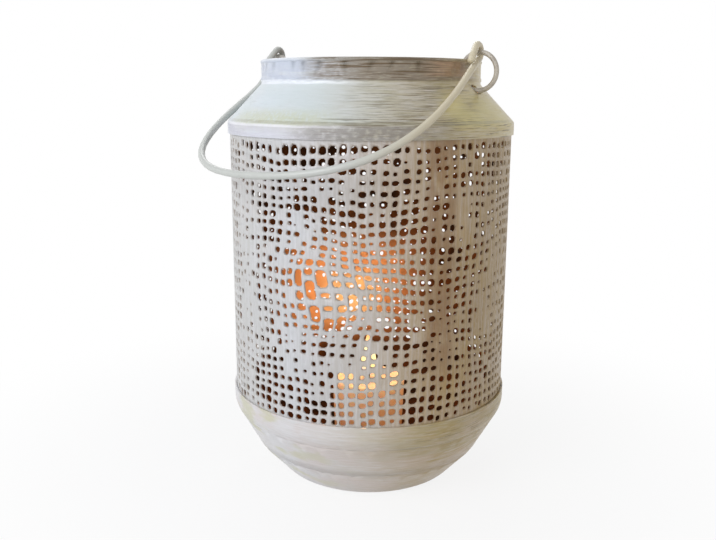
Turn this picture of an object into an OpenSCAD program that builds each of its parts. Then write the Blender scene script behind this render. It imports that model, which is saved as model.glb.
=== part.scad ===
// Candle lantern with a net-pierced wall, carried by a wire bail in two loose rings.
// Origin: centre of the foot's underside. +Z is up, the bail hinges on a line along X,
// and the front, where the bail lies, faces -Y.

/* [Sheet metal] */
// Outer radius of the pierced wall
body_r = 70; // [60:0.5:90]
// Thickness of every sheet metal wall
wall_t = 0.8; // [0.6:0.1:1.2]
// Height of the pierced sheet, edge to edge
sheet_h = 138.7; // [120:0.1:180]
// Gap between the pierced sheet and the collars that hold it
seam_gap = 0.2; // [0.1:0.05:0.4]

/* [Piercing] */
// Number of columns of holes round the wall
hole_columns = 48; // [24:2:56]
// Number of rows of holes
hole_rows = 14; // [8:1:16]
// Plain height left between the collars and the outermost rows
plain_edge = 3.2; // [2:0.1:8]
// Narrowest metal left between two holes
web_min = 1.4; // [1:0.1:3]

/* [Bowl] */
// Radius of the flat foot
foot_r = 44; // [38:0.5:56]
// Height of the bowl below its collar
bowl_h = 41.4; // [34:0.1:50]
// Height of the straight collar that holds the sheet
collar_h = 5.1; // [4:0.1:10]
// Depth of the two pressed grooves
groove_d = 0.5; // [0.2:0.1:0.8]

/* [Cap] */
// Height of the band that grips the sheet's top edge
band_h = 5.7; // [4:0.1:10]
// Rise of the sloping shoulder
shoulder_h = 18; // [12:0.5:26]
// Width of the sloping shoulder, from the band in to the neck
shoulder_w = 17; // [10:0.5:25]
// Height of the neck above the shoulder
neck_h = 11.2; // [9:0.1:16]
// Radius of the rolled lip
lip_r = 1; // [0.9:0.1:1.6]
// How far lip and bead stand proud of the neck
lip_proud = 0.4; // [0.2:0.1:0.8]

/* [Rings] */
// Thickness of the rings' wire
ring_wire_d = 2.3; // [1.8:0.1:3]
// Distance of a ring's centre outside the neck
ring_out = 3.5; // [2:0.1:4.5]
// Depth of a ring's centre below the rim
ring_drop = 5.5; // [4.5:0.1:6.5]
// Play between a ring and the lip that it passes round
ring_slack = 0.4; // [0.3:0.05:1]
// Play between a ring and the edge of its hole
hole_slack = 1; // [0.8:0.05:1.3]

/* [Bail] */
// Thickness of the bail's wire
bail_wire_d = 3.2; // [2.4:0.1:4]
// Length of the bail beyond the radius of the cap's band
bail_reach = 32; // [20:0.5:60]
// Angle at which each leg splays outwards from its eye
bail_splay = 8.6; // [0:0.1:12]
// How much lower the left leg lies than the right
bail_sag = 6.1; // [0:0.1:8]
// Length of the eyes, from the hinge line to the end of the wire
eye_len = 12.5; // [10:0.5:18]
// Play between an eye and its ring
eye_slack = 0.75; // [0.6:0.05:0.95]
// Offset of the leg below the hinge line
leg_offset = 1.9; // [1.4:0.1:2.2]
// Gap between the bail and what it rests on, hooks behind or nearly touches
bail_gap = 0.5; // [0.3:0.05:0.7]

/* [Candle] */
// Radius of the candle's top
wax_r = 19.2; // [15:0.1:24]
// Narrowing of the candle towards its base
wax_taper = 1.7; // [0:0.1:3]
// Height of the candle
wax_h = 45; // [25:0.5:60]
// Depth of the melt pool's hollow
pool_d = 2.4; // [1:0.1:4]
// Thickness of the wick
wick_d = 1.6; // [1.2:0.1:2.2]
// Free length of the wick above the pool
wick_free = 9; // [6:0.5:14]
// Radius of the tin tab under the wick
tab_r = 8; // [6:0.5:11]

/* [Hidden] */
$fn = 96;
metal_white = [0.86, 0.84, 0.80];
metal_cream = [0.90, 0.88, 0.82];
metal_beige = [0.70, 0.66, 0.58];

// Plain sizes that carry no range
overrun = 1;            // how far a cutting tool runs past what it cuts
fit_gap = 0.05;         // radial clearance of a running fit
candle_gap = 0.2;       // gap between the candle and the bowl's floor
corner_r = 1.6;         // blend where the shoulder meets the band and the neck
bead_h = 1;             // height of the bead round the foot of the neck
bead_ramp = 0.6;        // slope at either side of that bead
groove_w = 2.4;         // width of the pressed grooves
foot_round = 4;         // blend between the foot and the bowl
collar_round = 12;      // radius of the curve between the bowl and its collar
collar_turn = 30;       // how far that curve turns, in degrees
wax_round = 1.5;        // rounding of the candle's edges
tab_t = 0.4;            // thickness of the tin tab
tab_neck_h = 4;         // height of the tab's crimped neck
tab_neck_t = 0.4;       // thickness of that neck's wall

// Heights, from the foot up
sheet_z = bowl_h + seam_gap;
sheet_top = sheet_z + sheet_h;
collar_top = bowl_h + collar_h;
band_top = sheet_top + wall_t + seam_gap;
band_foot = band_top - band_h;
neck_foot = band_top + shoulder_h;
rim_z = neck_foot + neck_h;

// Radii
collar_r = body_r + seam_gap + wall_t;
neck_r = collar_r - shoulder_w;

// Outline points of the cap, as radius and height
band_edge = [collar_r, band_top];
neck_edge = [neck_r, neck_foot];
lip_centre = [neck_r + lip_proud - lip_r, rim_z - lip_r];

// Rings: each passes round the lip, and through a hole in the shoulder where its circle dips
// below the neck
ring_centre = [neck_r + ring_out, rim_z - ring_drop];
ring_r = norm(ring_centre - lip_centre) + lip_r + ring_wire_d / 2 + ring_slack;
hole_z = ring_centre[1] - sqrt(pow(ring_r, 2) - pow(ring_out - wall_t, 2));
hole_r = ring_wire_d / 2 + hole_slack;

// Bail: the eyes turn on the rings' tops, just clear of the lip
eye_r = ring_wire_d / 2 + eye_slack + bail_wire_d / 2;
hinge_x = neck_r + lip_proud + bail_gap + bail_wire_d / 2;
hinge_z = ring_centre[1] + sqrt(pow(ring_r, 2) - pow(ring_centre[0] - hinge_x, 2));
bail_len = collar_r + bail_reach;
leg_pull_share = 0.687;   // handle lengths of the bow's curve, along the leg
bow_pull_share = 0.994;   // and along the bow
settle_share = 0.155;     // share of the bail's length in which a leg leaves its eye
sag_share = 0.243;        // share of the bail's length in which the left leg sinks
bail_steps = 20;
bail_sides = 12;

// Candle
floor_z = wall_t + candle_gap;
wax_base_r = wax_r - wax_taper;

function unit(v) = v / norm(v);
function ease(t) = let (c = min(max(t, 0), 1)) c * c * (3 - 2 * c);
function noise(i, j, k) = let (v = sin(i * 127.1 + j * 311.7 + k * 74.7) * 437.58) v - floor(v);
function arc(c, r, a0, a1, n) = [for (i = [0:n]) let (a = a0 + (a1 - a0) * i / n) c + r * [cos(a), sin(a)]];

// A quadratic curve from p to q that leaves and arrives towards c
function blend(p, c, q, n) = [for (i = [0:n]) let (t = i / n) (1 - t) * (1 - t) * p + 2 * t * (1 - t) * c + t * t * q];

// The point at a distance from p on the way to q
function towards(p, q, d) = p + unit(q - p) * d;

// A pressed groove across the point p of an outline that runs along d
function groove(p, d) = [p - d * groove_w / 2, p + [-d[1], d[0]] * groove_d, p + d * groove_w / 2];

// The outline moved by t to its left, which is the metal's inner face
function inset(pts, t) = let (last = len(pts) - 1) [
    for (i = [0:last])
        let (a = unit(pts[max(i, 1)] - pts[max(i, 1) - 1]),
             b = unit(pts[min(i + 1, last)] - pts[min(i + 1, last) - 1]),
             m = unit(a + b))
        pts[i] + [-m[1], m[0]] * t / (m * a)
];
function reversed(pts) = [for (i = [len(pts) - 1:-1:0]) pts[i]];

// Sheet metal spun to an outline of radius and height
module spun(pts) {
    rotate_extrude() polygon(concat(pts, reversed(inset(pts, wall_t))));
}

// Bowl, from the axis out and up to the collar's edge
groove_low_share = [0.53, 0.386];     // place of the lower groove, between foot and collar
groove_high_share = [0.90, 0.809];    // place of the upper groove
function bowl_point(s) = [foot_r + (collar_r - foot_r) * s[0], bowl_h * s[1]];
foot_edge = [foot_r, 0];
groove_low = bowl_point(groove_low_share);
groove_high = bowl_point(groove_high_share);
foot_slope = towards(foot_edge, groove_low, foot_round);
collar_foot = [collar_r, bowl_h];
collar_curve = arc(collar_foot - [collar_round, 0], collar_round, -collar_turn, 0, 5);
bowl_pts = concat(
    [[0, 0]],
    blend(foot_edge - [foot_round, 0], foot_edge, foot_slope, 4),
    groove(groove_low, unit(groove_high - foot_slope)),
    groove(groove_high, unit(collar_curve[0] - groove_low)),
    collar_curve,
    [[collar_r, collar_top]]
);

module base_bowl() {
    color(metal_white) spun(bowl_pts);
}

// Cap, from the band's lower edge up to the rolled lip
cap_pts = concat(
    [[collar_r, band_foot]],
    blend(band_edge - [0, corner_r / 2], band_edge, towards(band_edge, neck_edge, corner_r / 2), 3),
    blend(towards(neck_edge, band_edge, corner_r / 2), neck_edge, neck_edge + [0, corner_r / 2], 3),
    [[neck_r + lip_proud, neck_foot + corner_r / 2 + bead_ramp],
     [neck_r + lip_proud, neck_foot + corner_r / 2 + bead_ramp + bead_h],
     [neck_r, neck_foot + corner_r / 2 + bead_ramp * 2 + bead_h],
     [neck_r, lip_centre[1]]]
);

module neck_cap() {
    color(metal_white)
    difference() {
        union() {
            spun(cap_pts);
            rotate_extrude() translate(lip_centre) circle(lip_r);
        }
        translate([-collar_r, 0, hole_z]) rotate([0, 90, 0]) cylinder(h = 2 * collar_r, r = hole_r);
    }
}

// Pierced wall: an uneven net of holes, largest in loose clusters, as if cut by hand
pitch_z = (band_foot - collar_top - 2 * plain_edge) / hole_rows;
pitch_w = 2 * PI * (body_r - wall_t) / hole_columns;
hole_w_share = [0.40, 0.30];          // smallest hole across, and how much noise adds
hole_h_share = [0.42, 0.30];          // the same for its height
cluster_share = 0.22;                 // what a cluster adds to both
cluster_spread_share = [0.09, 0.16];  // reach of a cluster, of the turn and of the height
clusters_share = [[0.78, 0.56], [0.72, 0.02], [0.95, 0.06], [0.76, 0.98], [0.14, 0.45],
                  [0.36, 0.72], [0.47, 0.2], [0.57, 0.86]];
function wrapped(t) = abs(t - round(t));
function cluster(s) = max([for (c = clusters_share)
    exp(-pow(wrapped(s[0] - c[0]) / cluster_spread_share[0], 2)
        - pow((s[1] - c[1]) / cluster_spread_share[1], 2))]);
function hole_size(i, j) = let (k = cluster_share * cluster([i / hole_columns, j / (hole_rows - 1)])) [
    min(pitch_w * (hole_w_share[0] + hole_w_share[1] * noise(i, j, 1) + k), pitch_w - web_min),
    min(pitch_z * (hole_h_share[0] + hole_h_share[1] * noise(i, j, 2) + k), pitch_z - web_min)
];

// The sheet bends only in the plain strips between columns, so each column lies on a flat
function bent(r) = [for (i = [0:hole_columns - 1]) r * [cos(360 * i / hole_columns), sin(360 * i / hole_columns)]];

module pierced_body() {
    color(metal_white)
    difference() {
        translate([0, 0, sheet_z]) linear_extrude(sheet_h)
        difference() {
            polygon(bent(body_r));
            polygon(bent(body_r - wall_t));
        }
        for (i = [0:hole_columns - 1], j = [0:hole_rows - 1]) {
            s = hole_size(i, j);
            rotate([0, 0, 360 * (i + 0.5) / hole_columns])
            translate([body_r - wall_t - overrun, -s[0] / 2,
                       collar_top + plain_edge + pitch_z * (j + 0.5) - s[1] / 2])
            cube([wall_t + 2 * overrun, s[0], s[1]]);
        }
    }
}

// Rings
module ring(side) {
    color(metal_beige)
    translate([side * ring_centre[0], 0, ring_centre[1]]) rotate([90, 0, 0])
    rotate_extrude() translate([ring_r, 0]) circle(d = ring_wire_d);
}
module ring_right() { ring(1); }
module ring_left() { ring(-1); }

// Bail: [across, along the leg, above the leg's plane], then laid down on the cap.
// The tail of an eye touches down beside its leg; the bow is one cubic curve a side.
tail_tip = [eye_len, bail_wire_d + bail_gap - leg_offset];
tail_turn = atan2(tail_tip[1], tail_tip[0]) + acos(eye_r / norm(tail_tip));
function eye_path() = concat(
    [tail_tip, (tail_tip + eye_r * [cos(tail_turn), sin(tail_turn)]) / 2],
    arc([0, 0], eye_r, tail_turn, 270, 9)
);
function bow_x(t) = pow(1 - t, 3) * hinge_x
    + 3 * pow(1 - t, 2) * t * (hinge_x + bail_len * leg_pull_share * sin(bail_splay))
    + 3 * (1 - t) * pow(t, 2) * hinge_x * bow_pull_share;
function bow_y(t) = 3 * pow(1 - t, 2) * t * bail_len * leg_pull_share * cos(bail_splay)
    + 3 * (1 - t) * pow(t, 2) * bail_len + pow(t, 3) * bail_len;
function leg_lift(y) = -leg_offset - (eye_r - leg_offset) * (1 - ease(y / (bail_len * settle_share)));
function half_bail(side) = concat(
    [for (p = eye_path()) [side * (hinge_x + max(p[0], 0) * tan(bail_splay)), p[0], p[1]]],
    [for (i = [1:bail_steps]) let (t = i / bail_steps) [side * bow_x(t), bow_y(t), leg_lift(bow_y(t))]]
);
function sagged(p) = p - [0, 0, bail_sag * (hinge_x - p[0]) / (2 * hinge_x)
                                * ease(p[1] / (bail_len * sag_share))];
function laid(p, drop) = [p[0],
                          -p[1] * cos(drop) - p[2] * sin(drop),
                          hinge_z - p[1] * sin(drop) + p[2] * cos(drop)];
left_half = half_bail(-1);
bail_flat = [for (p = concat(half_bail(1), [for (i = [len(left_half) - 2:-1:0]) left_half[i]])) sagged(p)];

// The bail drops until its lower leg all but rests on the shoulder or its edge
slope_out = unit([shoulder_h, shoulder_w]);
function above_cap(p) = let (q = [norm([p[0], p[1]]), p[2]])
    max((q - band_edge) * slope_out, q[0] - collar_r);
function clearance(drop) = min([for (p = bail_flat)
    if (p[1] > bail_len * settle_share) above_cap(laid(p, drop))]);
function settled(low, high, n) = let (mid = (low + high) / 2)
    n == 0 ? low
    : clearance(mid) > bail_wire_d / 2 + bail_gap ? settled(mid, high, n - 1)
    : settled(low, mid, n - 1);
steepest_drop = 85;
bail_drop = settled(0, steepest_drop, bail_steps);
bail_path = [for (p = bail_flat) laid(p, bail_drop)];

// A round wire along a path, with its ends closed flat
module wire(path, d, sides) {
    n = len(path);
    tangent = [for (i = [0:n - 1]) unit(path[min(i + 1, n - 1)] - path[max(i - 1, 0)])];
    across = [for (i = 0, v = unit(cross(tangent[0], [1, 0, 0])); i < n; i = i + 1,
                   v = i < n ? unit(v - (v * tangent[i]) * tangent[i]) : v) v];
    points = [for (i = [0:n - 1]) let (a = across[i], b = cross(tangent[i], a))
              for (k = [0:sides - 1]) path[i] + d / 2 * (a * cos(360 * k / sides) + b * sin(360 * k / sides))];
    walls = [for (i = [0:n - 2], k = [0:sides - 1]) let (m = (k + 1) % sides)
             each [[i * sides + k, (i + 1) * sides + k, (i + 1) * sides + m],
                   [i * sides + k, (i + 1) * sides + m, i * sides + m]]];
    ends = [[for (k = [0:sides - 1]) k], [for (k = [sides - 1:-1:0]) (n - 1) * sides + k]];
    polyhedron(points, concat(walls, ends));
}

module bail() {
    color(metal_cream) wire(bail_path, bail_wire_d, bail_sides);
}

// Candle: wax with a hollow round the wick, which a tin tab holds at the base
wax_pts = concat(
    [[0, 0], [wax_base_r - wax_round, 0]],
    [[wax_base_r, wax_round]],
    blend([wax_r, wax_h - wax_round], [wax_r, wax_h], [wax_r - wax_round, wax_h], 4),
    blend([wax_r - 2 * wax_round, wax_h - pool_d / 2], [wax_r - 3 * wax_round, wax_h - pool_d],
          [0, wax_h - pool_d], 3)
);

module candle_wax() {
    color([0.96, 0.93, 0.84])
    translate([0, 0, floor_z])
    difference() {
        rotate_extrude() polygon(wax_pts);
        translate([0, 0, -overrun]) cylinder(h = wax_h + 2 * overrun, d = wick_d + 2 * fit_gap);
        translate([0, 0, -overrun])
        cylinder(h = tab_t + fit_gap + overrun, r = tab_r + fit_gap);
        translate([0, 0, -overrun])
        cylinder(h = tab_t + tab_neck_h + fit_gap + overrun, d = wick_d + 2 * tab_neck_t + 4 * fit_gap);
    }
}

module candle_wick() {
    color([0.25, 0.22, 0.2])
    translate([0, 0, floor_z + tab_t]) cylinder(h = wax_h - pool_d - tab_t + wick_free, d = wick_d);
}

module wick_tab() {
    color([0.75, 0.75, 0.76])
    translate([0, 0, floor_z]) {
        cylinder(h = tab_t, r = tab_r);
        translate([0, 0, tab_t])
        difference() {
            cylinder(h = tab_neck_h, d = wick_d + 2 * tab_neck_t + 2 * fit_gap);
            translate([0, 0, -overrun]) cylinder(h = tab_neck_h + 2 * overrun, d = wick_d + 2 * fit_gap);
        }
    }
}

neck_cap();
pierced_body();
base_bowl();
bail();
ring_right();
ring_left();
candle_wax();
candle_wick();
wick_tab();
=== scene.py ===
"""Candle lantern: white painted sheet metal, pierced like a net, with a wire bail in two rings."""

import math

import bmesh
import bpy
from mathutils import Matrix, Vector


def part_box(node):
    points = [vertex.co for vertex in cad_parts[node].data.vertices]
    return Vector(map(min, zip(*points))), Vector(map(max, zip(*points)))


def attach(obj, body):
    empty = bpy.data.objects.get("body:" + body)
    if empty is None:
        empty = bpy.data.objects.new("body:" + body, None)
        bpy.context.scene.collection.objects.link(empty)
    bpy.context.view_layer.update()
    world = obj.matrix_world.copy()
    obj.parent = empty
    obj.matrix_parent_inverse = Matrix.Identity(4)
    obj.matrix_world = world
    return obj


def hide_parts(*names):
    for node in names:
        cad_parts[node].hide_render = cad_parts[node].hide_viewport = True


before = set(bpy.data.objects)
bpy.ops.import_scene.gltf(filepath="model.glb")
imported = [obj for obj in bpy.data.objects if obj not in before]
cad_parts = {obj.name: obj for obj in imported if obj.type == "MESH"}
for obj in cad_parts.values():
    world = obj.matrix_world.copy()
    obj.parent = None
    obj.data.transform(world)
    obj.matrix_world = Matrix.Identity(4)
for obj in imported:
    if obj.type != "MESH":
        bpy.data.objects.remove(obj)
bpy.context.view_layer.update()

mm = 0.001

# The bowl is one sheet of mild steel, pressed and spun, with two grooves and a collar that
# sleeves over the wall. Like the other shells it is painted off-white by hand with a dry
# brush, then rubbed back, so that undercoat and bare brown metal show in the strokes.
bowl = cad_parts["base_bowl"]
floor_below = 3 * mm      # what looks up below this height is the bowl's floor
touching = 0.001 * mm     # points that are nearer than this are one point
even = (1, 1, 1)          # the stretch of a pattern that isn't drawn out


def linear(code):
    """An sRGB hex colour as the linear colour that a shader takes."""
    parts = [int(code[start:start + 2], 16) / 255 for start in (1, 3, 5)]
    return [*(c / 12.92 if c <= 0.04045 else ((c + 0.055) / 1.055) ** 2.4 for c in parts), 1.0]


def new_material(name):
    """An empty material, with its tree, ready for nodes."""
    material = bpy.data.materials.new(name)
    material.use_nodes = True
    material.node_tree.nodes.clear()
    return material, material.node_tree


def add(tree, kind, settings=None, inputs=None):
    """Adds a node with its settings, and gives each input a value or a link."""
    node = tree.nodes.new(kind)
    for name, value in (settings or {}).items():
        setattr(node, name, value)
    for socket, value in (inputs or {}).items():
        if isinstance(value, bpy.types.NodeSocket):
            tree.links.new(value, node.inputs[socket])
        else:
            node.inputs[socket].default_value = value
    return node


def times(tree, *factors):
    """The product of several factors."""
    product = factors[0]
    for factor in factors[1:]:
        product = add(tree, "ShaderNodeMath", {"operation": "MULTIPLY"}, {0: product, 1: factor}).outputs[0]
    return product


def blotches(tree, place, size, stretch, low, high, detail=3.0, seed=0.0):
    """0 to 1 in soft patches of that size in mm, drawn out along each axis by stretch."""
    shift = (seed * mm, seed * 2 * mm, seed * 3 * mm)
    scaled = add(tree, "ShaderNodeMapping", {"vector_type": "TEXTURE"}, {0: place, 1: shift, 3: stretch})
    noise = add(tree, "ShaderNodeTexNoise", {}, {"Vector": scaled.outputs[0], "Scale": 1 / (size * mm),
                                                 "Detail": detail, "Roughness": 0.55})
    return add(tree, "ShaderNodeMapRange", {"interpolation_type": "SMOOTHSTEP"},
               {0: noise.outputs["Fac"], 1: low, 2: high, 3: 0.0, 4: 1.0}).outputs[0]


def facing(tree, place, azimuth, start, end):
    """0 to 1 as the surface turns towards an azimuth, from start to end on a scale of -1 to 1."""
    way = (math.cos(math.radians(azimuth)), math.sin(math.radians(azimuth)), 0)
    flat = add(tree, "ShaderNodeVectorMath", {"operation": "MULTIPLY"}, {0: place, 1: (1, 1, 0)})
    ray = add(tree, "ShaderNodeVectorMath", {"operation": "NORMALIZE"}, {0: flat.outputs[0]})
    turn = add(tree, "ShaderNodeVectorMath", {"operation": "DOT_PRODUCT"}, {0: ray.outputs[0], 1: way})
    return add(tree, "ShaderNodeMapRange", {"interpolation_type": "SMOOTHSTEP"},
               {0: turn.outputs["Value"], 1: start, 2: end, 3: 0.0, 4: 1.0}).outputs[0]


def band_of_height(tree, place, low, high, fade):
    """1 between two heights in mm, fading to 0 over the given height outside them."""
    height = add(tree, "ShaderNodeSeparateXYZ", {}, {0: place}).outputs["Z"]
    up = add(tree, "ShaderNodeMapRange", {"interpolation_type": "SMOOTHSTEP"},
             {0: height, 1: (low - fade) * mm, 2: low * mm, 3: 0.0, 4: 1.0})
    down = add(tree, "ShaderNodeMapRange", {"interpolation_type": "SMOOTHSTEP"},
               {0: height, 1: high * mm, 2: (high + fade) * mm, 3: 1.0, 4: 0.0})
    return times(tree, up.outputs[0], down.outputs[0])


def paint_over(tree, below, factor, code):
    """The colour below, painted over with a hex colour as far as the factor says."""
    mix = add(tree, "ShaderNodeMix", {"data_type": "RGBA"}, {0: factor, 6: below, 7: linear(code)})
    return mix.outputs[2]


def run_of_colours(tree, share, stops):
    """The colour that a share picks from hex colours, each given after the share where it is pure."""
    ramp = add(tree, "ShaderNodeValToRGB", {}, {0: share})
    for count, (at, code) in enumerate(stops):
        stop = ramp.color_ramp.elements[count] if count < 2 else ramp.color_ramp.elements.new(at)
        stop.position = at
        stop.color = linear(code)
    return ramp.outputs[0]


def whitewashed_iron(name, whites, brushed, tints, rubs=(), brush=(1, 1, 0.09)):
    """Off-white paint on iron, silky where it is thick and dull where the brush left it thin.

    The five whites run round from the side where the paint is thick to the side where it is
    thin, and they carry painted light and shade too: pale and cool on the side that the window
    lights, warmer and darker on the thin side. brushed says how much undercoat shows between
    the brush marks, and brush is their stretch. A tint is a colour with what makes its factor.
    A rub makes that of bare metal.
    """
    cloud_size, streak_size, thin_size, grain_size = 42, 9, 7, 1.2
    thin_and_shaded_azimuth = 30
    quarters = (0.0, 0.25, 0.5, 0.75, 1.0)
    material, tree = new_material(name)
    place = add(tree, "ShaderNodeTexCoord").outputs["Object"]
    # The whites lie a quarter apart, which is smoothed as facing smooths the turn
    stops = [(share ** 2 * (3 - 2 * share), code) for share, code in zip(quarters, whites)]
    # The whites darken and warm towards azimuth 30: thinner paint there, and painted shade with warm light
    colour = run_of_colours(tree, facing(tree, place, thin_and_shaded_azimuth, -1.0, 1.0), stops)
    warmer = times(tree, blotches(tree, place, cloud_size, (1, 1, 0.6), 0.42, 0.66), 0.25)
    colour = paint_over(tree, colour, warmer, "#D9CFC6")
    # The dry brush leaves streaks along the way that it was drawn
    streaks = blotches(tree, place, streak_size, brush, 0.35, 0.75, detail=5.0, seed=31)
    colour = paint_over(tree, colour, times(tree, streaks, 0.35), "#ECECF0")
    thin = blotches(tree, place, thin_size, brush, 0.55, 0.78, detail=6.0, seed=77)
    colour = paint_over(tree, colour, times(tree, thin, brushed), "#A89A86")
    for code, factor in tints:
        colour = paint_over(tree, colour, factor(tree, place), code)
    for factor in rubs:
        colour = paint_over(tree, colour, factor(tree, place), "#69573F")
    grain = blotches(tree, place, grain_size, even, 0.2, 0.8, detail=2.0, seed=5)
    relief = add(tree, "ShaderNodeMath", {"operation": "MULTIPLY_ADD"}, {0: grain, 1: 0.4, 2: streaks})
    bump = add(tree, "ShaderNodeBump", {},
               {"Strength": 0.25, "Distance": 0.3 * mm, "Height": relief.outputs[0]})
    # Thick paint keeps a silky gloss, and thin paint is dull
    rough = add(tree, "ShaderNodeMapRange", {}, {0: thin, 1: 0.0, 2: 1.0, 3: 0.34, 4: 0.62})
    shader = add(tree, "ShaderNodeBsdfPrincipled", {},
                 {"Base Color": colour, "Roughness": rough.outputs[0], "IOR": 1.5,
                  "Normal": bump.outputs[0]})
    add(tree, "ShaderNodeOutputMaterial", {}, {0: shader.outputs[0]})
    return material


def strokes(heights, side, cover, size, seed, fade=2.0):
    """Makes long thin strokes round the lantern, between two heights in mm and on one side.

    A side is an azimuth, with the turn towards it where the strokes start and where they are
    full. A higher cover leaves more paint, and size is the length of the strokes in mm.
    """
    def factor(tree, place):
        fine = blotches(tree, place, size, (1, 1, 0.028), cover, cover + 0.11, detail=5.0, seed=seed)
        return times(tree, fine, band_of_height(tree, place, *heights, fade), facing(tree, place, *side))
    return factor


def wash(heights, side, strength, seed, fade=1.0, size=14, stretch=(1, 1, 0.12)):
    """Makes a thin uneven wash, between two heights in mm and on one side."""
    def factor(tree, place):
        return times(tree, blotches(tree, place, size, stretch, 0.15, 0.60, detail=6.0, seed=seed),
                     band_of_height(tree, place, *heights, fade), facing(tree, place, *side), strength)
    return factor


def patches(size, low, high, strength, seed, side=None):
    """Makes soft patches of some strength, on one side or all round."""
    def factor(tree, place):
        patch = times(tree, blotches(tree, place, size, (1, 1, 0.5), low, high, seed=seed), strength)
        return times(tree, patch, facing(tree, place, *side)) if side else patch
    return factor


def clad(node, material):
    """Gives a CAD node one material all over."""
    node.data.materials.clear()
    node.data.materials.append(material)


def welded_copy(name, label, body, angle):
    """A copy of a CAD node with its corners welded, so that it shades smoothly, in the node's place."""
    bpy.ops.object.select_all(action="DESELECT")
    copy = bpy.data.objects.new(label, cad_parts[name].data.copy())
    bpy.context.scene.collection.objects.link(copy)
    bpy.context.view_layer.objects.active = copy
    copy.select_set(True)
    bpy.ops.object.mode_set(mode="EDIT")
    bpy.ops.mesh.select_all(action="SELECT")
    bpy.ops.mesh.remove_doubles(threshold=touching)
    bpy.ops.object.mode_set(mode="OBJECT")
    bpy.ops.object.shade_smooth_by_angle(angle=math.radians(angle))
    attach(copy, body)
    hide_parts(name)
    return copy


# Bare mild steel, browned by heat and soot, so it is dull and drinks most of the light. On
# the back, behind the flame, a pool of the candle's light is painted in copper orange, palest in the middle
browned_iron_and_painted_glow, browned_tree = new_material("heat_browned_iron")
browned_place = add(browned_tree, "ShaderNodeTexCoord").outputs["Object"]
soot = blotches(browned_tree, browned_place, 16, even, 0.4, 0.65)
browned_and_glow_colour = paint_over(browned_tree, linear("#6E421C"), soot, "#36200C")
# Painted light: the candle's glow on the back of the inside, in two copper oranges
for side, heights, fade, code in (((132, 0.66, 0.97), (62, 94), 26, "#EBA972"),
                                  ((129, 0.95, 0.995), (68, 79), 16, "#FFD9A2")):
    painted_candle_glow = times(browned_tree, facing(browned_tree, browned_place, *side),
                     band_of_height(browned_tree, browned_place, *heights, fade))
    browned_and_glow_colour = paint_over(browned_tree, browned_and_glow_colour, painted_candle_glow, code)
browned_shader = add(browned_tree, "ShaderNodeBsdfPrincipled", {},
                     {"Base Color": browned_and_glow_colour, "Roughness": 0.6, "IOR": 1.5,
                      "Specular IOR Level": 0.15})
add(browned_tree, "ShaderNodeOutputMaterial", {}, {0: browned_shader.outputs[0]})


def brown_inside(shell, floor_height=0.0):
    """Gives browned iron to the faces that look to the axis, or up from below a height."""
    inward_lean, floor_lean = -0.1, 0.9
    shell.data.materials.append(browned_iron_and_painted_glow)
    for face in shell.data.polygons:
        outward = Vector((face.center.x, face.center.y, 0))
        inside = face.normal.dot(outward) < inward_lean * outward.length
        on_floor = face.normal.z > floor_lean and face.center.z < floor_height
        if inside or on_floor:
            face.material_index = 1


bowl_paint = whitewashed_iron(
    "whitewashed_iron_bowl", ("#DBDAD9", "#D9D8D7", "#D1C8BA", "#B0965A", "#A88D4C"), 0.25,
    tints=[
        # A rosy undercoat in patches, olive stains on the left, and an olive haze on the right
        ("#D9C6BC", patches(30, 0.45, 0.62, 0.3, seed=21)),
        ("#C9C79E", patches(18, 0.52, 0.66, 0.6, seed=25, side=(-125, 0.3, 1.0))),
        ("#A99C6C", wash((30, 46), (-16, 0.55, 0.95), 0.5, seed=28, fade=4.0, size=12, stretch=(1, 1, 0.2))),
    ],
    # On the right the paint is rubbed off, round the top and round the grooves
    rubs=[strokes((38, 47), (18, 0.0, 0.9), cover=0.58, size=14, seed=9),
          strokes((15, 36), (38, 0.2, 1.0), cover=0.62, size=14, seed=17)],
)
clad(bowl, bowl_paint)
bowl_shell = welded_copy("base_bowl", "spun_bowl", "lantern", 35)
brown_inside(bowl_shell, floor_below)

# The wall is a sheet of steel, pierced in uneven columns of rounded holes like a coarse net,
# some of them closed up by paint, then rolled to a tube. The punch draws the edge of each hole
# inwards, so that its lower lip catches the light. Soot and heat have browned the inside.
sheet_low, sheet_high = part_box("pierced_body")
sheet_radius = sheet_high.x
sheet_thick = 0.6 * mm
net_columns = 96
net_rows = 29
net_foot = 46.2 * mm      # just inside the bowl's collar
net_top = 174.6 * mm      # and just below the cap's band
cell_width = 2 * math.pi * sheet_radius / net_columns
cell_height = (net_top - net_foot) / net_rows
web_edge = 0.5 * mm       # inset of each cell, before its hole gets its own width and height
drawn_edge = 0.34 * mm    # how far the edge of a hole comes in on the inside
most_drawn = 0.45         # and the most of the way to the hole's middle that it comes
dimple = 0.22 * mm        # how deep the edge of a hole lies
corner_percent = 27       # of each side of a hole, what its round corners take at either end
corner_wander = 0.20      # how far a corner may come in, as a share
largest_share = 0.92      # of a cell, in width or height
joined_share = 0.90       # of two cells whose web has gone
closed_share = 0.26       # what is left of a hole that paint has closed: a shallow dent
wander_share = 0.94       # of a cell, the width and height that a hole wanders in
# Places on the wall: azimuth in degrees, height in mm, and how far each reaches in both. The
# first ones are where the punch tore the sheet or cut its holes large
worst_tear = (-77, 107, 15, 16)
torn_places = ((-80, 172, 34, 9), worst_tear, (-54, 112, 17, 15), (-84, 52, 26, 11), (-38, 53, 18, 10),
               (-52, 136, 24, 24), (-46, 90, 13, 13), (-66, 62, 12, 10), (-80, 146, 22, 8),
               (40, 120, 26, 18))
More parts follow.
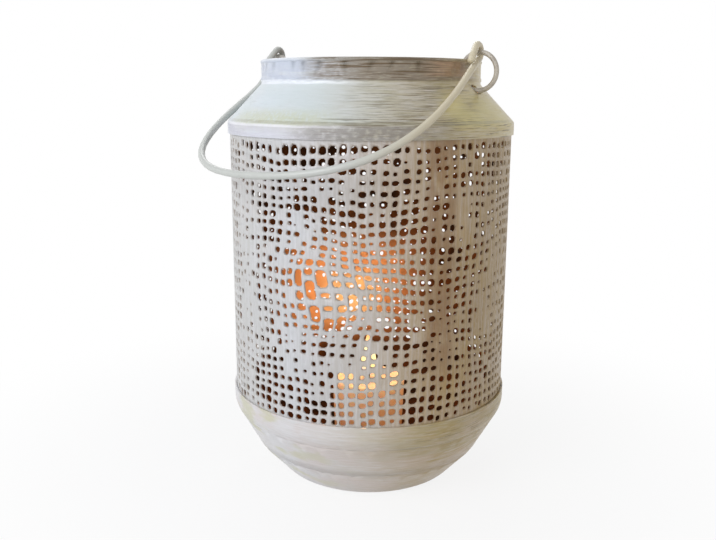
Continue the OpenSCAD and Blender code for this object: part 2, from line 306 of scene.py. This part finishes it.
# Where paint or an even hand left the sheet nearly whole
thick_places = ((-88, 83, 8, 15), (-70, 79, 6, 9), (-54, 79, 6, 9), (-31, 84, 7, 14), (-38, 154, 7, 7),
                (-117, 112, 8, 70), (-24, 143, 10, 12), (-4, 108, 12, 40), (-86, 138, 8, 7),
                (104, 118, 40, 70), (156, 118, 40, 70), (70, 90, 20, 50), (-160, 140, 24, 50))


def hashed(i, j, k):
    """A repeatable number from 0 to 1 for column i and row j of the net, another one for each k."""
    value = math.sin(i * 12.9898 + j * 78.233 + k * 37.719) * 43758.5453
    return value - math.floor(value)


def near(i, j, places):
    """1 at the nearest of some places on the wall, falling to 0 at its reach and beyond."""
    rise = (net_foot + cell_height * (j + 0.5)) / mm
    closest = 0.0
    for azimuth, height, reach_azimuth, reach_height in places:
        turn = (360 * (i + 0.5) / net_columns - azimuth + 180) % 360 - 180
        closest = max(closest, 1 - math.hypot(turn / reach_azimuth, (rise - height) / reach_height))
    return closest


def hole_shares(i, j):
    """Width and height of a hole as shares of its cell, or None where paint has closed it."""
    torn = near(i, j, torn_places) ** 0.6
    thick = near(i, j, thick_places) ** 0.6 * (1 - torn)
    if hashed(i, j, 8) < 0.06 * (1 - torn) + 0.40 * thick:
        return None
    large = 0.40 * hashed(i, j, 3) ** 2
    wide = 0.54 + 0.16 * hashed(i, j // 7, 1) + large * (0.5 + 0.5 * hashed(i, j, 2))
    wide += 0.26 * torn * hashed(i, j, 6)
    tall = 0.50 + 0.16 * hashed(i // 3, j // 2, 5) + large * (0.3 + 0.7 * hashed(i, j, 4))
    tall += 0.34 * torn * hashed(i, j, 7)
    # One hole in five is small, but not where the sheet is torn
    shrunk = 1 - 0.36 * thick - 0.30 * (hashed(i, j, 12) < 0.20 * (1 - torn))
    return min(wide * shrunk, largest_share), min(tall * shrunk, largest_share)


def broken_web(i, j):
    """Whether the web between a hole and the next one up has gone, as it has in the worst tear."""
    return hashed(i, j, 13) < 0.75 * near(i, j, [worst_tear]) ** 0.5


bpy.ops.object.select_all(action="DESELECT")
bpy.ops.mesh.primitive_cylinder_add(
    vertices=net_columns, radius=sheet_radius, depth=net_top - net_foot, end_fill_type="NOTHING",
    location=(0, 0, (net_top + net_foot) / 2), rotation=(0, 0, math.radians(90)))
wall = bpy.context.object
wall.name = "pierced_wall"
bpy.ops.object.transform_apply(location=True, rotation=True, scale=True)
bpy.ops.object.mode_set(mode="EDIT")
bpy.ops.mesh.select_mode(type="EDGE")
net = bmesh.from_edit_mesh(wall.data)
for edge in net.edges:
    edge.select_set(abs(edge.verts[0].co.z - edge.verts[1].co.z) > mm)
bmesh.update_edit_mesh(wall.data)
bpy.ops.mesh.subdivide(number_cuts=net_rows - 1)


def cell_of(centre):
    """Column and row of the cell with this middle, or of the lower one of two joined cells."""
    turn = math.degrees(math.atan2(centre.y, centre.x)) % 360
    column = int(turn / 360 * net_columns - 0.25) % net_columns
    return column, int((centre.z - net_foot) / cell_height - 0.25)


# A web that has gone is dissolved, so that two holes run into one, but never three
net = bmesh.from_edit_mesh(wall.data)
joined = set()
for edge in net.edges:
    edge.select_set(False)
for edge in net.edges:
    cells = [cell_of(face.calc_center_median()) for face in edge.link_faces]
    stacked = len(cells) == 2 and cells[0][1] != cells[1][1]
    if stacked and not joined.intersection(cells) and broken_web(*min(cells)):
        joined.update(cells)
        edge.select_set(True)
bmesh.update_edit_mesh(wall.data)
bpy.ops.mesh.dissolve_edges(use_verts=False)
bpy.ops.mesh.select_mode(type="FACE")
bpy.ops.mesh.select_all(action="SELECT")
bpy.ops.mesh.inset(thickness=web_edge, use_individual=True)
net = bmesh.from_edit_mesh(wall.data)
for face in [face for face in net.faces if face.select]:
    centre = face.calc_center_bounds()
    i, j = cell_of(centre)
    wide, tall = hole_shares(i, j) or (closed_share, closed_share)
    if len(face.verts) > 4:
        wide, tall = max(wide, joined_share), max(tall, joined_share)
    around = Vector((-centre.y, centre.x, 0)).normalized()
    # The holes of a stretch of column or row wander together, and each a little by itself
    aside = 0.6 * hashed(i, j // 5, 9) + 0.4 * hashed(i, j, 9) - 0.5
    upwards = 0.7 * hashed(i, j // 9, 10) + 0.3 * hashed(i, j, 10) - 0.5
    slip = around * cell_width * (wander_share - wide) * aside
    slip.z = cell_height * (wander_share - tall) * upwards
    half_width = max(abs((vert.co - centre).dot(around)) for vert in face.verts)
    half_height = max(abs(vert.co.z - centre.z) for vert in face.verts)
    wide *= (half_width + web_edge) / half_width
    tall *= (half_height + web_edge) / half_height
    for vert in face.verts:
        step = vert.co - centre
        out = step - around * step.dot(around) - Vector((0, 0, step.z))
        across = step.dot(around) * wide * (1 - corner_wander * hashed(vert.index, i, 11))
        up = step.z * tall * (1 - corner_wander * hashed(vert.index, j, 12))
        vert.co = centre + out + around * across + slip + Vector((0, 0, up))
bmesh.update_edit_mesh(wall.data)
bpy.ops.mesh.bevel(affect="VERTICES", offset_type="PERCENT", offset_pct=corner_percent, segments=1)
net = bmesh.from_edit_mesh(wall.data)
# The edge of an open hole is marked for the paint, and keeps how far it comes in on the inside
rim = net.verts.layers.float.new("rim")
drawn = net.verts.layers.float_vector.new("drawn")
# With its corners bevelled a hole has eight of them, and two joined holes have more
for face in net.faces:
    centre = face.calc_center_bounds()
    hole = len(face.verts) >= 8
    open_hole = hole and (len(face.verts) > 8 or hole_shares(*cell_of(centre)) is not None)
    face.select_set(open_hole)
    if hole:
        for vert in face.verts:
            vert[rim] = float(open_hole)
            if open_hole:
                inwards = centre - vert.co
                vert[drawn] = inwards * min(most_drawn, drawn_edge / inwards.length)
            vert.co -= dimple * Vector((vert.co.x, vert.co.y, 0)).normalized()


def drift(place):
    """Where a point of the even net ends up, because the punch wandered by some mm."""
    turn = math.atan2(place.y, place.x)
    share = (place.z - net_foot) / (net_top - net_foot)
    fade = max(0.0, share * (1 - share)) ** 0.5 * 2
    rise = place.z / mm
    # The rows and columns wave, but for the ends of the net
    up = fade * (1.4 * math.sin(3 * turn + rise / 18) + 1.0 * math.sin(7 * turn - rise / 11))
    around = fade * 1.35 * math.sin(rise / 15 + 5 * turn)
    # The top row is taller in front, and the next rows give way to it
    droop, droop_depth, droop_azimuth = 1.7, 5, -80
    depth = (net_top - place.z) / mm / droop_depth
    up -= droop * depth * math.exp(1 - depth) * max(0.0, math.cos(turn - math.radians(droop_azimuth)))
    # Round the worst tear the net is stretched, and its columns lean
    stretch, lean, pull_reach = 0.45, 0.42, 15
    step_around = sheet_radius / mm * (turn - math.radians(worst_tear[0]))
    step_up = rise - worst_tear[1]
    pull = math.exp(-(step_around ** 2 + step_up ** 2) / pull_reach ** 2)
    around += pull * (stretch * step_around - lean * step_up)
    up += pull * stretch * step_up
    return Matrix.Rotation(around * mm / sheet_radius, 3, "Z") @ (place + Vector((0, 0, up * mm)))


for vert in net.verts:
    moved = drift(vert.co)
    vert[drawn] = drift(vert.co + vert[drawn]) - moved
    vert.co = moved
bmesh.update_edit_mesh(wall.data)
bpy.ops.mesh.delete(type="FACE")
bpy.ops.mesh.select_mode(type="EDGE")
# Above and below the net the sheet is plain, up and down to its edges in the cap and the bowl
for net_end, sheet_end in ((net_top, sheet_high.z), (net_foot, sheet_low.z)):
    net = bmesh.from_edit_mesh(wall.data)
    for edge in net.edges:
        at_end = all(abs(vert.co.z - net_end) < touching for vert in edge.verts)
        edge.select_set(edge.is_boundary and at_end)
    bmesh.update_edit_mesh(wall.data)
    bpy.ops.mesh.extrude_region_move(TRANSFORM_OT_translate={"value": (0, 0, sheet_end - net_end)})
bpy.ops.object.mode_set(mode="OBJECT")
thickness = wall.modifiers.new("thickness", "SOLIDIFY")
thickness.thickness = sheet_thick
thickness.offset = -1
bpy.ops.object.modifier_apply(modifier=thickness.name)
# On the inside the edge of each hole is drawn in, so that the cut slopes
bpy.ops.object.mode_set(mode="EDIT")
net = bmesh.from_edit_mesh(wall.data)
drawn = net.verts.layers.float_vector["drawn"]
for vert in net.verts:
    if math.hypot(vert.co.x, vert.co.y) < sheet_radius - dimple - 0.5 * sheet_thick:
        vert.co += vert[drawn]
bmesh.update_edit_mesh(wall.data)
bpy.ops.object.mode_set(mode="OBJECT")
bpy.ops.object.shade_smooth_by_angle(angle=math.radians(50))


def darker_hole_edges(tree, place):
    """Darker round the edges of the open holes, in blotches, fading away from each edge."""
    rim_share = add(tree, "ShaderNodeAttribute", {"attribute_name": "rim"}).outputs["Fac"]
    sharp = add(tree, "ShaderNodeMath", {"operation": "POWER"}, {0: rim_share, 1: 3.0}).outputs[0]
    return times(tree, sharp, blotches(tree, place, 8, even, 0.30, 0.6, seed=41), 0.55)


def warm_side(tree, place):
    """Thin paint on the side of the seam, where the brown shows through more."""
    return times(tree, facing(tree, place, -6, 0.45, 1.0),
                 blotches(tree, place, 10, (1, 1, 1.6), 0.40, 0.62, detail=5.0, seed=44), 0.22)


def seam_stain(tree, place):
    """Brown along the sheet's seam, down from the cap, fading out by mid height."""
    return times(tree, facing(tree, place, -33, 0.990, 0.999), band_of_height(tree, place, 84, 176, 30),
                 blotches(tree, place, 6, (1, 1, 2.0), 0.20, 0.60, detail=4.0, seed=46), 0.75)


# On the wall the brush went up and down, so its marks stand upright
wall_paint = whitewashed_iron(
    "whitewashed_iron_wall", ("#C7C6C1", "#C9CACA", "#BDB4A7", "#B99C68", "#AE9152"), 0.15,
    tints=[("#9C836A", warm_side), ("#8A6238", seam_stain), ("#927C60", darker_hole_edges),
           ("#8F7A58", wash((46, 176), (0, 0.50, 0.95), 0.32, seed=48, size=5, stretch=(0.12, 0.12, 3.0)))],
    brush=(0.12, 0.12, 2.0),
)
wall.data.materials.append(wall_paint)
brown_inside(wall)
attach(wall, "lantern")
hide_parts("pierced_body")

# The cap is spun from one sheet: a band over the wall's top edge, a sloping shoulder, a bead
# and a neck with a rolled lip. Hands rub it most, so brown strokes show on its front.
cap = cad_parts["neck_cap"]
# Heights in mm of the band, its upper edge, the shoulder, the bead and the neck
band, edge, shoulder, bead, neck = (176, 181), (180.7, 181.4), (182.5, 198), (199.2, 200.6), (201, 210)
cap_paint = whitewashed_iron(
    "whitewashed_iron_cap", ("#DCE2E8", "#DAE0E1", "#C2BEA8", "#A89B72", "#D2C38E"), 0.20,
    tints=[
        # The shoulder: strokes in front, a yellowed patch, dark strokes at its foot, a greenish
        # white on the left that is painted cool light from the window, and an olive smear below that
        ("#8B8067", strokes(shoulder, (-38, 0.76, 0.98), cover=0.50, size=13, seed=55)),
        ("#DACF90", wash((183, 192), (-10, 0.90, 0.98), 0.8, seed=61, fade=5.0, stretch=even)),
        ("#7C7058", strokes((181.8, 184.5), (-52, 0.70, 0.96), cover=0.50, size=13, seed=82, fade=0.8)),
        ("#D0DEDC", wash((183, 199), (-112, 0.4, 1.0), 0.5, seed=64, fade=2.0, size=20, stretch=even)),
        ("#C9CBA0", wash((182.5, 184), (-100, 0.84, 1.0), 0.6, seed=66, fade=6.0, size=5,
                         stretch=(0.25, 0.25, 1.6))),
        # Painted cool light: a bluish white on the left of the neck and of the band, where the window lights
        # them
        ("#C3CAD8", wash((201, 209), (-115, 0.55, 0.90), 0.8, seed=74)),
        ("#CFCCD6", wash((176, 180.5), (-118, 0.55, 0.95), 0.6, seed=75)),
        # The rubbed front of the neck: brown, with a coppery spot, and grey to the left of it
        ("#87755F", wash(neck, (-36, 0.66, 0.93), 0.80, seed=67, size=4, stretch=(1, 1, 0.2))),
        ("#B08C6C", wash((203, 208.5), (-20, 0.955, 0.995), 0.7, seed=76, stretch=(1, 1, 0.5))),
        ("#8F8678", wash(neck, (-62, 0.78, 0.96), 0.75, seed=79, size=3, stretch=(1, 1, 0.2))),
        # The front of the band is grey, where the paint has gone
        ("#86807A", wash(band, (-62, 0.84, 0.98), 0.75, seed=68, size=3, stretch=(1, 1, 0.5))),
        # Painted highlights, pale on the band's upper edge and on the bead on the window's side, and painted
        # shade in the crease above the edge
        ("#F2F1F4", wash(edge, (-122, 0.45, 0.95), 0.8, seed=69, fade=0.4)),
        ("#F4F7FC", wash(bead, (-118, 0.55, 0.95), 0.9, seed=70, fade=0.6)),
        ("#9B967E", wash((182.2, 182.9), (-60, 0.0, 0.8), 0.5, seed=73, fade=0.5, size=6)),
    ],
    # Bare metal in front on the neck, and on the right of the band
    rubs=[strokes((201.5, 210), (-54, 0.74, 0.97), cover=0.47, size=20, seed=51, fade=0.8),
          strokes(band, (-30, 0.5, 1.0), cover=0.56, size=15, seed=58)],
)
clad(cap, cap_paint)
cap_shell = welded_copy("neck_cap", "spun_cap", "lantern", 35)
brown_inside(cap_shell)

# The rings are soft iron wire, closed cold and dipped in enamel, which the bail has rubbed
# to a greyish beige where it turns.


def dipped_wire(name, enamel, right_side, worn, wear):
    """Smooth and fairly glossy enamel with small worn spots, and another tone on the right side that is
    painted warm light and shade.
    """
    spot_size = 5
    material, tree = new_material(name)
    place = add(tree, "ShaderNodeTexCoord").outputs["Object"]
    colour = paint_over(tree, linear(enamel), facing(tree, place, 0, 0.35, 0.85), right_side)
    spots = blotches(tree, place, spot_size, even, wear, wear + 0.12, detail=4.0, seed=82)
    colour = paint_over(tree, colour, times(tree, spots, 0.6), worn)
    shader = add(tree, "ShaderNodeBsdfPrincipled", {},
                 {"Base Color": colour, "Roughness": 0.34, "IOR": 1.5, "Coat Weight": 0.1})
    add(tree, "ShaderNodeOutputMaterial", {}, {0: shader.outputs[0]})
    return material


ring_enamel = dipped_wire("rubbed_beige_enamel", "#CBC7BD", "#C3BBAC", "#9C9184", 0.50)
for side in ("right", "left"):
    clad(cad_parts["ring_" + side], ring_enamel)
    ring = welded_copy("ring_" + side, "closed_ring_" + side, "ring_" + side, 60)

# The bail is one length of 3.2 mm iron wire with a hooked eye at each end, bent by hand and
# dipped in cream enamel, which keeps it smooth and glossy.
bail_enamel = dipped_wire("cream_dipped_enamel", "#C8CAC3", "#DBD0B2", "#A8937A", 0.68)
clad(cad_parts["bail"], bail_enamel)
bail_wire = welded_copy("bail", "bent_bail", "bail", 60)

# The votive is cast in one piece of paraffin wax, which lets light sink in. It stands loose
# on the bowl's floor.
wax_low, wax_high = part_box("candle_wax")
wax, wax_tree = new_material("paraffin_wax")
wax_place = add(wax_tree, "ShaderNodeTexCoord").outputs["Object"]
wax_clouds = blotches(wax_tree, wax_place, 9, even, 0.4, 0.7, seed=91)
wax_colour = paint_over(wax_tree, linear("#F1E6CC"), wax_clouds, "#E6D3AC")
# Painted light: the wax glows by its own emission, as the flame would light it, palest under the flame and a
# deeper orange further down
wax_height = add(wax_tree, "ShaderNodeSeparateXYZ", {}, {0: wax_place}).outputs["Z"]
wax_share = add(wax_tree, "ShaderNodeMapRange", {},
                {0: wax_height, 1: wax_low.z, 2: wax_high.z, 3: 0.0, 4: 1.0})
painted_wax_glow = run_of_colours(wax_tree, wax_share.outputs[0],
                          ((0.0, "#4E230B"), (0.55, "#B86E36"), (0.9, "#E59A60"), (1.0, "#F2BC84")))
wax_shader = add(wax_tree, "ShaderNodeBsdfPrincipled", {},
                 {"Base Color": wax_colour, "Roughness": 0.42, "IOR": 1.44, "Subsurface Weight": 0.6,
                  "Subsurface Radius": (6 * mm, 3 * mm, 1.5 * mm), "Subsurface Scale": 1.0,
                  "Emission Color": painted_wax_glow, "Emission Strength": 0.6})
add(wax_tree, "ShaderNodeOutputMaterial", {}, {0: wax_shader.outputs[0]})
clad(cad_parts["candle_wax"], wax)

# The wick is a braid of cotton that runs through the wax. It is matt and pale where it has
# not burned, and its upper end is charred black.
wick_low, wick_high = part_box("candle_wick")
charred_length = 5 * mm
char_fade = 3 * mm
strand_width = 1.2 * mm
cotton, cotton_tree = new_material("braided_cotton_charred")
cotton_place = add(cotton_tree, "ShaderNodeTexCoord").outputs["Object"]
charred = band_of_height(cotton_tree, cotton_place, (wick_high.z - charred_length) / mm,
                         wick_high.z / mm, char_fade / mm)
braid = add(cotton_tree, "ShaderNodeTexWave", {"bands_direction": "DIAGONAL"},
            {"Vector": cotton_place, "Scale": 1 / strand_width, "Distortion": 1.0})
between_strands = times(cotton_tree, braid.outputs["Fac"], 0.4)
cotton_colour = paint_over(cotton_tree, linear("#D8CFBC"), between_strands, "#A89C86")
cotton_colour = paint_over(cotton_tree, cotton_colour, charred, "#1C1613")
cotton_shader = add(cotton_tree, "ShaderNodeBsdfPrincipled", {},
                    {"Base Color": cotton_colour, "Roughness": 0.9})
add(cotton_tree, "ShaderNodeOutputMaterial", {}, {0: cotton_shader.outputs[0]})
clad(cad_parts["candle_wick"], cotton)

# The tab is stamped from tinned steel and crimped round the wick's foot, to hold it upright.
# Tin is a soft bright metal, so it is shiny but a little uneven.
tin, tin_tree = new_material("tinned_steel")
tin_place = add(tin_tree, "ShaderNodeTexCoord").outputs["Object"]
tin_spots = blotches(tin_tree, tin_place, 2, even, 0.3, 0.7)
tin_rough = add(tin_tree, "ShaderNodeMapRange", {}, {0: tin_spots, 1: 0.0, 2: 1.0, 3: 0.25, 4: 0.4})
tin_shader = add(tin_tree, "ShaderNodeBsdfPrincipled", {},
                 {"Base Color": linear("#C6C6C4"), "Metallic": 1.0, "Roughness": tin_rough.outputs[0]})
add(tin_tree, "ShaderNodeOutputMaterial", {}, {0: tin_shader.outputs[0]})
clad(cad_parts["wick_tab"], tin)

# The flame is drawn as a small glowing body on the wick: blue at its foot, yellow in the
# middle and orange at the tip. Two warm lamps stand for the light that it gives.
flame_foot = wick_high.z - charred_length
flame_length = 24 * mm
flame_radius = 4.2 * mm
widest_share = 0.4        # of the ball that it is shaped from, the height where it is widest
tip_taper = 0.62          # what the tip loses of that width
lamp_radius = 5 * mm
bpy.ops.object.select_all(action="DESELECT")
bpy.ops.mesh.primitive_uv_sphere_add(segments=32, ring_count=20, radius=flame_radius,
                                     location=(0, 0, flame_foot + flame_radius))
flame = bpy.context.object
flame.name = "flame"
bpy.ops.object.transform_apply(location=True, rotation=True, scale=True)
bpy.ops.object.mode_set(mode="EDIT")
body = bmesh.from_edit_mesh(flame.data)
for vert in body.verts:
    share = (vert.co.z - flame_foot) / (2 * flame_radius)
    above = max(0.0, share - widest_share) / (1 - widest_share)
    taper = 1 - tip_taper * above ** 1.3
    vert.co.x *= taper
    vert.co.y *= taper
    vert.co.z = flame_foot + flame_length * share ** 1.5
bmesh.update_edit_mesh(flame.data)
bpy.ops.object.mode_set(mode="OBJECT")
bpy.ops.object.shade_smooth()
glow, glow_tree = new_material("candle_flame")
glow_place = add(glow_tree, "ShaderNodeTexCoord").outputs["Object"]
glow_height = add(glow_tree, "ShaderNodeSeparateXYZ", {}, {0: glow_place}).outputs["Z"]
glow_share = add(glow_tree, "ShaderNodeMapRange", {},
                 {0: glow_height, 1: flame_foot, 2: flame_foot + flame_length, 3: 0.0, 4: 1.0})
glow_colour = run_of_colours(glow_tree, glow_share.outputs[0],
                             ((0.0, "#5A6CC8"), (0.22, "#FFD98A"), (0.6, "#FFE9B0"), (1.0, "#FF9A3C")))
glow_shader = add(glow_tree, "ShaderNodeEmission", {}, {"Color": glow_colour, "Strength": 1.6})
add(glow_tree, "ShaderNodeOutputMaterial", {}, {0: glow_shader.outputs[0]})
flame.data.materials.append(glow)
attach(flame, "candle")


def new_lamp(name, kind, power, code):
    """A lamp of some kind, power in watts and hex colour, which still has to be placed."""
    light = bpy.data.lights.new(name, kind)
    light.energy = power
    light.color = linear(code)[:3]
    lamp = bpy.data.objects.new(name, light)
    bpy.context.scene.collection.objects.link(lamp)
    return lamp


# The first lamp shines all round, from above the tip, where the flame's body can't shade it
candle_lamp = new_lamp("candle_light", "POINT", 0.055, "#FFC088")
candle_lamp.data.shadow_soft_size = lamp_radius
candle_lamp.location = (0, 0, flame_foot + flame_length * 1.5)
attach(candle_lamp, "candle")
# The draught leans the flame, so the back of the wall gets most of its light
draught_azimuth = math.radians(136)
draught = Vector((math.cos(draught_azimuth), math.sin(draught_azimuth), 0.2))
leaning_lamp = new_lamp("leaning_light", "SPOT", 0.13, "#FFDDB8")
leaning_lamp.data.spot_size = math.radians(84)
leaning_lamp.data.spot_blend = 1.0
leaning_lamp.data.shadow_soft_size = lamp_radius
leaning_lamp.location = (0, 0, flame_foot + flame_length)
leaning_lamp.rotation_euler = (-draught).to_track_quat("Z", "Y").to_euler()
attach(leaning_lamp, "candle")

# The studio is a white sweep with no edges in view, lit by a large cool window on the left,
# a warm low fill on the right, a light from behind and an even white surround.
shadow_start = 50 * mm    # from the lantern's axis, where the shadow on the sweep is full
shadow_end = 300 * mm


def seen(tree):
    """1 where the eye sees it, straight, mirrored or through glass, and 0 where it only gives light."""
    ray = add(tree, "ShaderNodeLightPath").outputs
    direct = add(tree, "ShaderNodeMath", {"operation": "MAXIMUM"},
                 {0: ray["Is Camera Ray"], 1: ray["Is Glossy Ray"]})
    return add(tree, "ShaderNodeMath", {"operation": "MAXIMUM"},
               {0: direct.outputs[0], 1: ray["Is Transmission Ray"]}).outputs[0]


bpy.ops.object.select_all(action="DESELECT")
bpy.ops.mesh.primitive_plane_add(size=20, location=(0, 0, 0))
floor = bpy.context.object
floor.name = "floor"
paper, paper_tree = new_material("white_paper_sweep")
paper_place = add(paper_tree, "ShaderNodeTexCoord").outputs["Object"]
paper_reach = add(paper_tree, "ShaderNodeVectorMath", {"operation": "LENGTH"}, {0: paper_place})
# The paper is seen as plain white, but for a soft shadow close round the foot
paper_bright = add(paper_tree, "ShaderNodeMapRange", {"interpolation_type": "SMOOTHSTEP"},
                   {0: paper_reach.outputs["Value"], 1: shadow_start, 2: shadow_end, 3: 0.86, 4: 1.0})
paper_white = add(paper_tree, "ShaderNodeEmission", {}, {"Color": linear("#FFFFFF"), "Strength": 1.0})
paper_matte = add(paper_tree, "ShaderNodeBsdfDiffuse", {}, {"Color": linear("#E8E8E8")})
paper_mix = add(paper_tree, "ShaderNodeMixShader", {},
                {0: times(paper_tree, seen(paper_tree), paper_bright.outputs[0]),
                 1: paper_matte.outputs[0], 2: paper_white.outputs[0]})
add(paper_tree, "ShaderNodeOutputMaterial", {}, {0: paper_mix.outputs[0]})
floor.data.materials.append(paper)

world = bpy.data.worlds.new("white_surround")
world.use_nodes = True
world.node_tree.nodes.clear()
surround = add(world.node_tree, "ShaderNodeBackground", {},
               {"Color": linear("#EEF1F6"), "Strength": 0.45})
backdrop = add(world.node_tree, "ShaderNodeBackground", {},
               {"Color": linear("#FFFFFF"), "Strength": 1.0})
sky = add(world.node_tree, "ShaderNodeMixShader", {},
          {0: seen(world.node_tree), 1: surround.outputs[0], 2: backdrop.outputs[0]})
add(world.node_tree, "ShaderNodeOutputWorld", {}, {0: sky.outputs[0]})
bpy.context.scene.world = world


def soft_light(name, azimuth, elevation, distance, size, power, code):
    """A square soft light that faces the middle of the lantern, from a direction in degrees."""
    middle = Vector((0, 0, 0.1))
    lamp = new_lamp(name, "AREA", power, code)
    lamp.data.size = size
    around, up = math.radians(azimuth), math.radians(elevation)
    way = Vector((math.cos(around) * math.cos(up), math.sin(around) * math.cos(up), math.sin(up)))
    lamp.location = middle + way * distance
    lamp.rotation_euler = way.to_track_quat("Z", "Y").to_euler()


soft_light("window", azimuth=-104, elevation=26, distance=1.2, size=0.8, power=8.8, code="#F6F7FD")
soft_light("fill", azimuth=8, elevation=10, distance=1.4, size=0.9, power=2.2, code="#FFE6C8")
soft_light("back", azimuth=128, elevation=40, distance=1.4, size=0.8, power=3.0, code="#FFFFFF")

# The camera stands in front and to the right, a little below the rim, and looks down at the
# lantern, as in the photograph. Its place and lens were fitted to the photograph's ellipses.
camera_place = Vector((207.95, -360.2, 196.3)) * mm
camera_pan = math.radians(30.818)
camera_tilt = math.radians(90 - 12.453)
camera_roll = math.radians(0.273)
photo_width = 716
focal_length = 814.18     # in the photograph's pixels
camera_data = bpy.data.cameras.new("camera")
camera_data.sensor_width = 36
camera_data.lens = focal_length / photo_width * camera_data.sensor_width
camera_data.clip_start = 0.01
camera = bpy.data.objects.new("camera", camera_data)
bpy.context.scene.collection.objects.link(camera)
camera.matrix_world = (Matrix.Translation(camera_place) @ Matrix.Rotation(camera_pan, 4, "Z")
                       @ Matrix.Rotation(camera_tilt, 4, "X") @ Matrix.Rotation(camera_roll, 4, "Z"))
bpy.context.scene.camera = camera
bpy.context.scene.view_settings.view_transform = "Standard"
